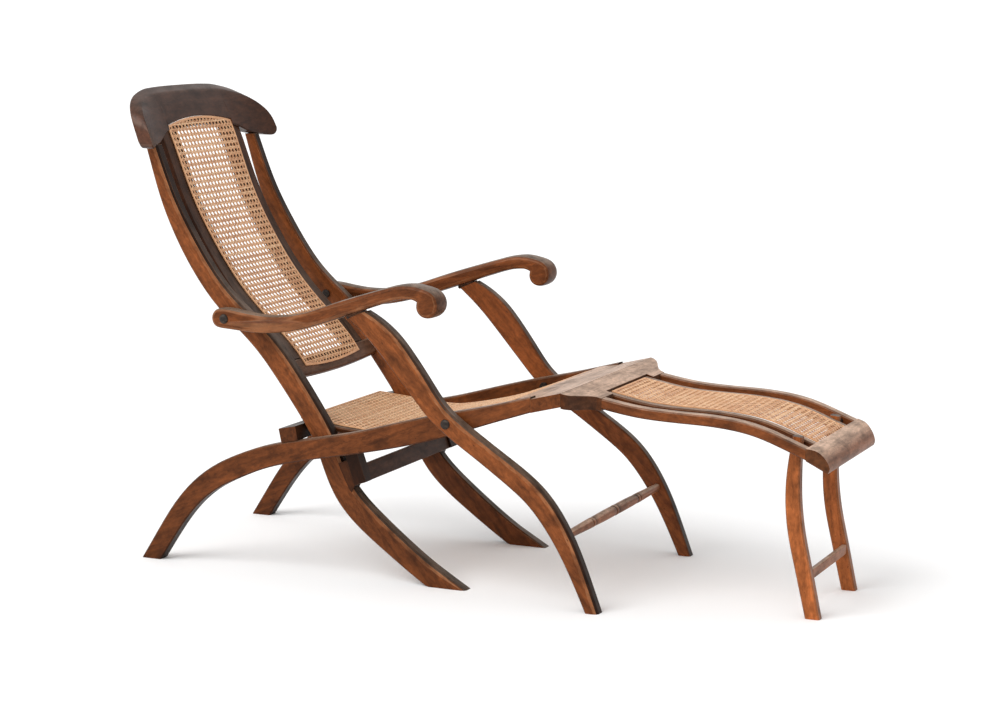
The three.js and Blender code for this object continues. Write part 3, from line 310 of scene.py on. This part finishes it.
def wood(name, side, top, front, worn, wear, roughness, gloss):
    """Waxed wood with painted light: lit on its sides, a painted sheen on its tops, painted shade on its
    fronts and backs.
    """
    tree = Tree(name)
    place = tree.add("ShaderNodeAttribute", attribute_name="grain").outputs["Vector"]
    facing = tree.add("ShaderNodeTexCoord").outputs["Normal"]
    facing_parts = tree.add("ShaderNodeSeparateXYZ", {0: facing}).outputs
    sideways = tree.size(facing_parts[1])
    # Per corner: levels of the painted light and shade on sides, tops and fronts, and of wear
    light_and_wear_levels = tree.add("ShaderNodeAttribute", attribute_name="tone").outputs
    levels = tree.add("ShaderNodeSeparateColor", {0: light_and_wear_levels["Color"]}).outputs

    streaks = tree.noise(place, STREAKS)
    figure = tree.noise(place, FIGURE)
    pores = tree.noise(place, PORES)
    stains = tree.noise(place, STAINS)
    spots = tree.noise(place, SPOTS)
    mottle = tree.noise(place, MOTTLE)

    # Painted light by facing: lit sides, a painted sheen on tops, painted shade on fronts, backs and
    # undersides
    lit_side_colour = tree.shaded((*side, 1), levels[0])
    painted_sheen_top_colour = tree.shaded((*top, 1), levels[1])
    painted_shade_front_colour = tree.shaded((*front, 1), levels[2])
    turned = tree.blend(tree.between(facing_parts[2], *TOP_FROM), painted_shade_front_colour, painted_sheen_top_colour)
    painted_light_colour = tree.blend(tree.between(sideways, *SIDE_FROM), turned, lit_side_colour)

    tone = tree.plus(tree.times(streaks, 0.5), tree.times(figure, 0.5))
    painted_light_colour = tree.shaded(painted_light_colour, tree.between(mottle, 0.3, 0.7, 0.72, 1.3))
    grained = tree.shaded(painted_light_colour, tree.between(tone, 0.34, 0.66, 0.62, 1.42))
    stained = tree.shaded(grained, tree.between(stains, 0.46, 0.7, 1.0, 0.5))
    corner = tree.times(
        tree.between(sideways, *CORNER_FROM), tree.between(sideways, *CORNER_TO, 1.0, 0.0)
    )
    rubbing = tree.times(tree.plus(corner, wear), tree.between(stains, 0.3, 0.62, 1.0, 0.25))
    rubbing = tree.times(rubbing, light_and_wear_levels["Alpha"])
    rubbed = tree.blend(rubbing, stained, (*worn, 1))
    marks = tree.plus(
        tree.between(pores, 0.28, 0.4, 0.5, 0.0), tree.between(spots, 0.66, 0.74, 0.0, 0.55)
    )
    height = tree.plus(tree.times(streaks, 0.5), tree.times(pores, 0.35))
    return tree.finish(
        {
            "Base Color": tree.blend(marks, rubbed, (*front, 1)),
            "Roughness": tree.between(stains, 0.3, 0.7, *roughness),
            "Normal": tree.bump(height, 0.22, WOOD_RELIEF),
            "Specular IOR Level": gloss,
        }
    )


def iron(name, stops):
    """Dark iron with rubbed spots and a fine cast skin."""
    tree = Tree(name)
    place = tree.add("ShaderNodeTexCoord").outputs["Object"]
    patches = tree.noise(place, IRON_PATCHES)
    return tree.finish(
        {
            "Base Color": tree.ramp(patches, stops),
            "Metallic": 0.65,
            "Roughness": tree.between(patches, 0.3, 0.7, 0.34, 0.6),
            "Normal": tree.bump(tree.noise(place, IRON_SKIN), 0.3, IRON_RELIEF),
        }
    )


def cane(name, stops, crack, edge):
    """Split cane with a waxy skin and painted shade along the edges of its strands, its strands a little
    unlike in tone.
    """
    tree = Tree(name)
    strand = tree.add("ShaderNodeAttribute", attribute_name="strand").outputs["Vector"]
    parts = tree.add("ShaderNodeSeparateXYZ", {0: strand}).outputs
    fibres = tree.noise(strand, CANE_FIBRES)
    patches = tree.noise(strand, CANE_PATCHES)
    tone = tree.plus(tree.times(parts[2], 0.45), tree.times(patches, 0.55))
    cracks = tree.between(fibres, 0.35, 0.6, 0.35, 0.0)
    lined = tree.blend(cracks, tree.ramp(tone, stops), (*crack, 1))
    # Painted shade towards the edges of each strand
    outward = tree.size(tree.between(parts[1], 0.0, STRAND_MARK, -1.0, 1.0))
    lined = tree.blend(tree.between(outward, 0.6, 1.0, 0.0, 0.65), lined, (*edge, 1))
    return tree.finish(
        {
            "Base Color": lined,
            "Roughness": tree.between(patches, 0.3, 0.7, 0.38, 0.55),
            "Normal": tree.bump(fibres, 0.3, CANE_RELIEF),
        }
    )


def edge_group(name, operation, angle, kind, source, target):
    """Geometry nodes that mark the edges under or over an angle in one socket of one node."""
    group = bpy.data.node_groups.new(name, "GeometryNodeTree")
    group.interface.new_socket("Geometry", in_out="INPUT", socket_type="NodeSocketGeometry")
    group.interface.new_socket("Geometry", in_out="OUTPUT", socket_type="NodeSocketGeometry")
    start = group.nodes.new("NodeGroupInput")
    bend = group.nodes.new("GeometryNodeInputMeshEdgeAngle")
    compare = group.nodes.new("FunctionNodeCompare")
    compare.data_type = "FLOAT"
    compare.operation = operation
    compare.inputs["B"].default_value = math.radians(angle)
    node = group.nodes.new(kind)
    end = group.nodes.new("NodeGroupOutput")
    group.links.new(bend.outputs["Unsigned Angle"], compare.inputs["A"])
    group.links.new(start.outputs[0], node.inputs[source])
    group.links.new(compare.outputs["Result"], node.inputs[target])
    group.links.new(node.outputs[0], end.inputs[0])
    return group, node


def smoothing_group():
    """Shades as smooth all edges under the smooth angle."""
    group, node = edge_group(
        "smooth_by_angle", "LESS_THAN", SMOOTH_ANGLE, "GeometryNodeSetShadeSmooth", "Geometry", "Shade Smooth"
    )
    node.domain = "EDGE"
    return group


def finer_group(name, angle, level):
    """Rounds off the small bends of a board and keeps edges over the angle."""
    group, node = edge_group(
        name, "GREATER_THAN", angle, "GeometryNodeSubdivisionSurface", "Mesh", "Edge Crease"
    )
    node.inputs["Level"].default_value = level
    return group


def set_grain(node):
    """Writes each corner's place along and across the board's longest direction."""
    corners = np.array([v.co for v in node.data.vertices])
    middle = (corners.min(0) + corners.max(0)) / 2
    _, _, axes = np.linalg.svd(np.unique(np.round(corners - middle, 5), axis=0), full_matrices=False)
    axes *= np.sign(axes.sum(1))[:, None]
    seed = seed_of(node.name)
    places = (corners - middle) @ axes.T + np.array([seed * 7, seed * 3, seed * 5])
    attribute = node.data.attributes.new("grain", "FLOAT_VECTOR", "POINT")
    attribute.data.foreach_set("vector", places.astype(np.float32).ravel())


def set_tone(node):
    """Writes the levels of the node's painted light and shade on sides, tops and fronts and of its wear, with
    painted shade lower down and in turned grooves.
    """
    heights = np.array([v.co.z for v in node.data.vertices])
    levels = np.tile(TONES.get(base_name(node.name), (1, 1, 1, 1)), (len(heights), 1)).astype(float)
    # Painted shade that darkens the board lower down
    low, high, least = SHADED.get(base_name(node.name), (0, 0.001, 1))
    shade = least + (1 - least) * np.clip((heights - low) / (high - low), 0, 1)
    levels *= shade[:, None]
    # Painted shade in the turned grooves
    places, width, least = GROOVES.get(base_name(node.name), ((), 0, 1))
    across = np.abs([v.co.y for v in node.data.vertices])
    for place in places:
        levels[np.abs(across - place) < width / 2] *= least
    attribute = node.data.attributes.new("tone", "FLOAT_COLOR", "POINT")
    attribute.data.foreach_set("color", levels.astype(np.float32).ravel())


def base_name(name):
    return name.removesuffix("_left").removesuffix("_right")


def dress(node, body, edge, groups, width=EDGE_WIDTH):
    """Gives a CAD node its finish, softened edges and smooth curves. Its corners stay where they are."""
    node.data.attributes.remove(node.data.attributes["custom_normal"])
    node.data.shade_smooth()
    node.data.materials.clear()
    node.data.materials.append(body)
    node.data.materials.append(edge)
    set_grain(node)
    set_tone(node)
    weld = node.modifiers.new("weld", "WELD")
    weld.merge_threshold = WELD_REACH
    kind = base_name(node.name)
    for group, kinds in (("curved", CURVED), ("soft", SOFT), ("turned", TURNED)):
        if kind in kinds:
            node.modifiers.new("curves", "NODES").node_group = groups[group]
    bevel = node.modifiers.new("edges", "BEVEL")
    bevel.width = width
    bevel.segments = EDGE_SEGMENTS
    bevel.limit_method = "ANGLE"
    bevel.angle_limit = math.radians(EDGE_ANGLE)
    bevel.material = 1
    bevel.use_clamp_overlap = True
    shade = node.modifiers.new("shade", "NODES")
    shade.node_group = groups["smooth"]
    weighted = node.modifiers.new("flat_faces", "WEIGHTED_NORMAL")
    weighted.keep_sharp = True


class Sheet:
    """The surface of a CAD cane sheet, found from its own faces: a line in x and z, drawn out across y."""

    def __init__(self, node, upright):
        corners = np.array([v.co for v in node.data.vertices])
        self.line = self.upper_line(node, corners, upright)
        steps = np.linalg.norm(np.diff(self.line, axis=0), axis=1)
        self.stations = np.concatenate([[0], np.cumsum(steps)])
        self.length = self.stations[-1]
        s, y = self.flat(corners)
        at_start, at_end = s < END_ZONES[0] * self.length, s > END_ZONES[1] * self.length
        self.half_start = np.abs(y[at_start]).max()
        self.half_end = np.abs(y[at_end]).max()
        self.half = (self.half_start + self.half_end) / 2
        self.ends = []
        moves = CANE_ENDS.get(node.name, ((0, 0), (0, 0)))
        for near, pick, move in ((at_start, np.min, moves[0]), (at_end, np.max, moves[1])):
            s_near = s[near]
            share = np.abs(y[near]) / self.half_at(s_near)
            middle = pick(s_near[share < MIDDLE_SHARE])
            corner = pick(s_near[share > CORNER_SHARE])
            self.ends.append((middle + move[0], corner + move[1]))
        across = np.linspace(-self.half, self.half, END_STEPS)
        first = np.column_stack([across, self.end_at(0, across)])
        last = np.column_stack([across, self.end_at(1, across)])
        self.outline = np.vstack([first, last[::-1]])
        self.lift = CANE_LIFTS.get(node.name, 0)

    def upper_line(self, node, corners, upright):
        """The upper face's line in x and z, met by rays across the sheet."""
        tree = BVHTree.FromPolygons(
            [v.co for v in node.data.vertices], [p.vertices for p in node.data.polygons]
        )
        low, high = corners.min(0), corners.max(0)
        along = 2 if upright else 0
        down = Vector((-1, 0, 0)) if upright else Vector((0, 0, -1))
        found = []
        for place in np.linspace(high[along] - SHEET_MARGIN, low[along] + SHEET_MARGIN, SHEET_STEPS):
            hits = []
            for y in np.linspace(low[1] * SHEET_RAY_SHARE, high[1] * SHEET_RAY_SHARE, SHEET_RAYS):
                start = Vector((high[0] + 1, y, place)) if upright else Vector((place, y, high[2] + 1))
                hit = tree.ray_cast(start, down)[0]
                if hit:
                    hits.append((hit.x, hit.z))
            if hits:
                found.append(max(hits, key=lambda h: h[0] if upright else h[1]))
        line = np.array(found if upright else found[::-1])
        kept = np.ones(SMOOTHED_STEPS) / SMOOTHED_STEPS
        smooth = np.column_stack([np.convolve(line[:, k], kept, "valid") for k in (0, 1)])
        return np.vstack([line[:1], smooth, line[-1:]])

    def end_at(self, end, across):
        """Station of the sheet's start (0) or end (1) at a place across it."""
        middle, corner = self.ends[end]
        return middle + (corner - middle) * (np.asarray(across) / self.half) ** 2

    def flat(self, corners):
        """Station along the line and y of each corner."""
        starts, runs = self.line[:-1], np.diff(self.line, axis=0)
        lengths = np.linalg.norm(runs, axis=1)
        s = []
        for x, _, z in corners:
            off = np.array((x, z)) - starts
            share = np.clip((off * runs).sum(1) / lengths**2, 0, 1)
            apart = np.linalg.norm(off - runs * share[:, None], axis=1)
            k = apart.argmin()
            s.append(self.stations[k] + share[k] * lengths[k])
        return np.array(s), corners[:, 1]

    def half_at(self, s):
        share = np.clip(np.asarray(s) / self.length, 0, 1)
        return self.half_start + (self.half_end - self.half_start) * share

    def line_at(self, s):
        return np.array([np.interp(s, self.stations, self.line[:, k]) for k in (0, 1)])

    def place(self, across, s, level):
        """The point at a place across and along the sheet, level above its middle."""
        middle = np.clip(s, TANGENT_REACH, self.length - TANGENT_REACH)
        tangent = self.line_at(middle + TANGENT_REACH) - self.line_at(middle - TANGENT_REACH)
        tangent /= np.linalg.norm(tangent)
        normal = np.array([-tangent[1], tangent[0]])
        if normal @ np.array(UPPER_SIDE) < 0:
            normal = -normal
        beyond = s - np.clip(s, 0, self.length)
        spot = self.line_at(s) + tangent * beyond + normal * (level + self.lift - SHEET_MIDDLE)
        return (spot[0], across * self.half_at(s) / self.half, spot[1])


def cross(a, b, c):
    return (b[0] - a[0]) * (c[1] - a[1]) - (b[1] - a[1]) * (c[0] - a[0])


def clipped(start, end, outline):
    """The part of a flat straight line inside a convex outline, or nothing."""
    start, end = np.array(start), np.array(end)
    low, high = 0.0, 1.0
    for a, b in zip(outline, np.roll(outline, -1, axis=0)):
        side_start = cross(a, b, start)
        side_end = cross(a, b, end)
        if side_start < 0 and side_end < 0:
            return None
        if side_start < 0:
            low = max(low, side_start / (side_start - side_end))
        elif side_end < 0:
            high = min(high, side_start / (side_start - side_end))
    if high - low < 1e-6:
        return None
    return start + (end - start) * low, start + (end - start) * high


class Weave:
    """Collects the strands of one cane sheet as closed ribbons in one mesh."""

    def __init__(self, sheet, size):
        self.sheet = sheet
        self.width, self.thickness = size
        self.corners, self.faces, self.marks = [], [], []

    def ribbon(self, start, end, level_at, step, seed):
        """A closed ribbon along a flat straight line, with a domed top."""
        length = np.linalg.norm(end - start)
        if length < self.width:
            return
        side = np.array([start[1] - end[1], end[0] - start[0]]) / length
        count = max(1, round(length / step))
        half = self.width / 2
        out, up = half * STRAND_SHOULDER_SHARES[0], self.thickness * STRAND_SHOULDER_SHARES[1]
        section = [(-half, 0), (half, 0), (out, up), (0, self.thickness), (-out, up)]
        first = len(self.corners)
        for i in range(count + 1):
            spot = start + (end - start) * i / count
            level = level_at(spot)
            for out, up in section:
                across, s = spot + side * out
                self.corners.append(self.sheet.place(across, s, level + up))
                self.marks.append((length * i / count, (out / half + 1) * STRAND_MARK / 2, seed))
        self.close(first, count, len(section))

    def close(self, first, count, size):
        """Faces between neighbouring rings of corners, and over both ends."""
        for i in range(count):
            for j in range(size):
                a = first + i * size + j
                b = first + i * size + (j + 1) % size
                self.faces.append((a, b, b + size, a + size))
        self.faces.append(tuple(first + j for j in reversed(range(size))))
        self.faces.append(tuple(first + count * size + j for j in range(size)))

    def rim(self, outline):
        """The flat strip that binds the edge, all round the outline."""
        middle = outline.mean(0)
        inner = []
        for before, here, after in zip(np.roll(outline, 1, axis=0), outline, np.roll(outline, -1, axis=0)):
            normals = []
            for a, b in ((before, here), (here, after)):
                edge = (b - a) / np.linalg.norm(b - a)
                normals.append(np.array([-edge[1], edge[0]]))
            miter = sum(normals) / (1 + normals[0] @ normals[1])
            if miter @ (middle - here) < 0:
                miter = -miter
            inner.append(miter)
        first = len(self.corners)
        run = 0.0
        for here, before, miter in zip(outline, np.roll(outline, 1, axis=0), inner):
            run += np.linalg.norm(here - before)
            for out, level in RIM_SECTION:
                across, s = here + miter * out * RIM_WIDTH
                self.corners.append(self.sheet.place(across, s, level))
                self.marks.append((run, (0.25 + 0.5 * out) * STRAND_MARK, 0.5))
        size, count = len(RIM_SECTION), len(outline)
        for i in range(count):
            for j in range(size):
                a = first + i * size + j
                b = first + i * size + (j + 1) % size
                c = first + (i + 1) % count * size + (j + 1) % size
                d = first + (i + 1) % count * size + j
                self.faces.append((a, d, c, b))

    def mesh(self, name):
        mesh = bpy.data.meshes.new(name)
        mesh.from_pydata(self.corners, [], self.faces)
        attribute = mesh.attributes.new("strand", "FLOAT_VECTOR", "POINT")
        attribute.data.foreach_set("vector", np.array(self.marks, np.float32).ravel())
        mesh.validate()
        mesh.update()
        return mesh


def finer(outline, step):
    """The outline with extra corners, so that it follows a curved sheet."""
    points = []
    for a, b in zip(outline, np.roll(outline, -1, axis=0)):
        count = max(1, round(np.linalg.norm(b - a) / step))
        points += [a + (b - a) * i / count for i in range(count)]
    return np.array(points)


def woven(node, body, upright, finish, woods):
    """A six-way woven panel that stands for a CAD cane sheet, with its ledge."""
    sheet = Sheet(node, upright)
    weave = Weave(sheet, THICK_CANE.get(node.name, (STRAND_WIDTH, STRAND_THICKNESS)))
    outline = sheet.outline
    inside = outline.mean(0) + (outline - outline.mean(0)) * STRAND_INSET_SHARE
    low, high = outline.min(0), outline.max(0)
    columns = round((high[0] - low[0]) / CANE_PITCH)
    rows = round((high[1] - low[1]) / CANE_PITCH)
    pitch = (high - low) / (columns, rows)
    noise = np.random.default_rng(zlib.crc32(node.name.encode()))

    def strand(start, end, level_at, step):
        part = clipped(start, end, inside)
        if part:
            weave.ribbon(part[0], part[1], level_at, step, noise.random() + CANE_TONES.get(node.name, 0))

    for i in range(1, columns):
        for side in (-1, 1):
            across = low[0] + i * pitch[0] + side * PAIR_SPREAD / 2
            strand((across, low[1]), (across, high[1]), lambda _: WARP_LEVEL, pitch[1])
    for j in range(1, rows):
        for side in (-1, 1):
            s = low[1] + j * pitch[1] + side * PAIR_SPREAD / 2
            strand((low[0], s), (high[0], s), lambda _: WEFT_LEVEL, high[0] - low[0])

    def slant_level(rise):
        return lambda spot: SLANT_LEVEL + rise * math.cos(math.tau * (spot[0] - low[0]) / pitch[0])

    step = math.hypot(*pitch) / STEPS_PER_CELL
    for k in range(-columns - rows, columns + rows):
        for slope, rise in ((1, SLANT_RISE), (-1, OUTER_SLANT_RISE)):
            # A line that crosses the pairs midway between two crossings
            start = (low[0], low[1] + (k + 0.5) * pitch[1])
            end = (high[0], low[1] + (k + 0.5 + slope * columns) * pitch[1])
            strand(start, end, slant_level(rise), step)
    weave.rim(finer(outline, CANE_PITCH))
    panel = bpy.data.objects.new(f"woven_{node.name}", weave.mesh(f"woven_{node.name}"))
    bpy.context.scene.collection.objects.link(panel)
    panel.data.materials.append(finish)
    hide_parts(node.name)
    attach(panel, body)
    for name, (cane_name, reach, margin, thickness, slot) in LEDGES.items():
        if cane_name == node.name:
            piece = ledge(name, sheet, reach, margin, thickness)
            piece.data.materials.append(woods[slot][0])
            set_grain(piece)
            set_tone(piece)
            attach(piece, body)


def ledge(name, sheet, reach, margin, thickness):
    """A strip of wood along the underside of a cane sheet, at its start."""
    half = sheet.half - margin
    corners, faces = [], []
    for i in range(LEDGE_COLUMNS + 1):
        across = half * (2 * i / LEDGE_COLUMNS - 1)
        edge = float(sheet.end_at(0, across))
        stations = [edge + reach * j / LEDGE_ROWS for j in range(LEDGE_ROWS + 1)]
        corners += [sheet.place(across, s, LEDGE_TOP) for s in stations]
        corners += [sheet.place(across, s, LEDGE_TOP - thickness) for s in reversed(stations)]
    size = 2 * (LEDGE_ROWS + 1)
    for i in range(LEDGE_COLUMNS):
        for j in range(size):
            a = i * size + j
            b = i * size + (j + 1) % size
            faces.append((a, b, b + size, a + size))
    faces.append(tuple(range(size - 1, -1, -1)))
    faces.append(tuple(LEDGE_COLUMNS * size + j for j in range(size)))
    mesh = bpy.data.meshes.new(name)
    mesh.from_pydata(corners, [], faces)
    mesh.update()
    piece = bpy.data.objects.new(name, mesh)
    bpy.context.scene.collection.objects.link(piece)
    return piece


def camera_matrix():
    yaw, pitch, roll = (math.radians(a) for a in (CAMERA_YAW, CAMERA_PITCH, CAMERA_ROLL))
    level = math.cos(pitch)
    forward = Vector((math.sin(yaw) * level, math.cos(yaw) * level, math.sin(pitch)))
    right = Vector((math.cos(yaw), -math.sin(yaw), 0))
    up = right.cross(forward)
    turned_right = right * math.cos(roll) + up * math.sin(roll)
    turned_up = up * math.cos(roll) - right * math.sin(roll)
    turn = Matrix((turned_right, turned_up, -forward)).transposed().to_4x4()
    return Matrix.Translation(CAMERA_PLACE) @ turn


def add_camera():
    data = bpy.data.cameras.new("camera")
    data.lens = CAMERA_LENS
    data.sensor_width = CAMERA_SENSOR
    data.clip_end = CAMERA_REACH
    camera = bpy.data.objects.new("camera", data)
    camera.matrix_world = camera_matrix()
    bpy.context.scene.collection.objects.link(camera)
    bpy.context.scene.camera = camera


def add_sun():
    data = bpy.data.lights.new("sun", "SUN")
    data.energy = SUN_POWER
    data.angle = math.radians(SUN_SPREAD)
    lamp = bpy.data.objects.new("sun", data)
    lamp.rotation_euler = Vector(SUN_TOWARDS).to_track_quat("Z", "Y").to_euler()
    bpy.context.scene.collection.objects.link(lamp)


def add_floor():
    half = FLOOR_SIZE / 2
    mesh = bpy.data.meshes.new("floor")
    corners = [(-half, -half, 0), (half, -half, 0), (half, half, 0), (-half, half, 0)]
    mesh.from_pydata(corners, [], [(0, 1, 2, 3)])
    floor = bpy.data.objects.new("floor", mesh)
    bpy.context.scene.collection.objects.link(floor)
    tree = Tree("floor")
    paint = {"Base Color": (*FLOOR_PAINT, 1), "Roughness": 0.9, "Specular IOR Level": 0.0}
    mesh.materials.append(tree.finish(paint))


def add_sky():
    world = bpy.data.worlds.new("sky")
    world.use_nodes = True
    background = world.node_tree.nodes["Background"]
    background.inputs["Color"].default_value = (1, 1, 1, 1)
    background.inputs["Strength"].default_value = SKY_LEVEL
    bpy.context.scene.world = world


clear_scene()
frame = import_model()

# Lit side, painted sheen on tops, painted shade on fronts, and worn colours
WALNUT_LOOK = ((0.215, 0.062, 0.017), (0.26, 0.172, 0.122), (0.024, 0.0095, 0.0045), (0.55, 0.27, 0.13))
DARK_LOOK = ((0.09, 0.034, 0.018), (0.07, 0.034, 0.022), (0.048, 0.017, 0.008), (0.14, 0.075, 0.048))
WALNUT = wood("walnut", *WALNUT_LOOK, 0.0, (0.3, 0.46), 0.11)
WALNUT_EDGE = wood("walnut_edge", *WALNUT_LOOK, 0.45, (0.36, 0.5), 0.11)
DARK = wood("dark_walnut", *DARK_LOOK, 0.0, (0.3, 0.44), 0.22)
DARK_EDGE = wood("dark_walnut_edge", *DARK_LOOK, 0.3, (0.34, 0.48), 0.22)
IRON = iron(
    "iron", [(0.35, (0.018, 0.013, 0.011)), (0.55, (0.035, 0.026, 0.021)), (0.75, (0.085, 0.06, 0.045))]
)
RUSTED = iron(
    "rusted_iron", [(0.35, (0.05, 0.022, 0.012)), (0.55, (0.1, 0.042, 0.02)), (0.75, (0.17, 0.075, 0.035))]
)
CANE = cane(
    "cane",
    [
        (0.0, (0.24, 0.09, 0.035)),
        (0.28, (0.46, 0.2, 0.085)),
        (0.5, (0.76, 0.4, 0.195)),
        (0.75, (0.93, 0.6, 0.345)),
    ],
    (0.3, 0.13, 0.06),
    # Painted shade at the strands' edges
    (0.16, 0.06, 0.025),
)

groups = {
    "smooth": smoothing_group(),
    "curved": finer_group("curved", CURVED_ANGLE, CURVED_LEVEL),
    "soft": finer_group("soft", SOFT_ANGLE, CURVED_LEVEL),
    "turned": finer_group("turned", TURNED_ANGLE, TURNED_LEVEL),
}
slots = {part["node"]: part["material_slot"] for part in frame["record"]["subparts"]}
finishes = {"wood": (WALNUT, WALNUT_EDGE), "dark_wood": (DARK, DARK_EDGE), "iron": (IRON, IRON)}
for name, node in frame["nodes"].items():
    slot = slots[name]
    if slot in finishes:
        width = EDGE_WIDTH if slot != "iron" else IRON_EDGE_WIDTH
        looks = (RUSTED, RUSTED) if base_name(name).startswith("hinge_leaf") else finishes[slot]
        dress(node, *looks, groups, width)
    else:
        woven(node, node["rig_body"], name == "back_cane", CANE, finishes)

add_floor()
add_sky()
add_sun()
add_camera()
bpy.context.scene.view_settings.view_transform = "Standard"
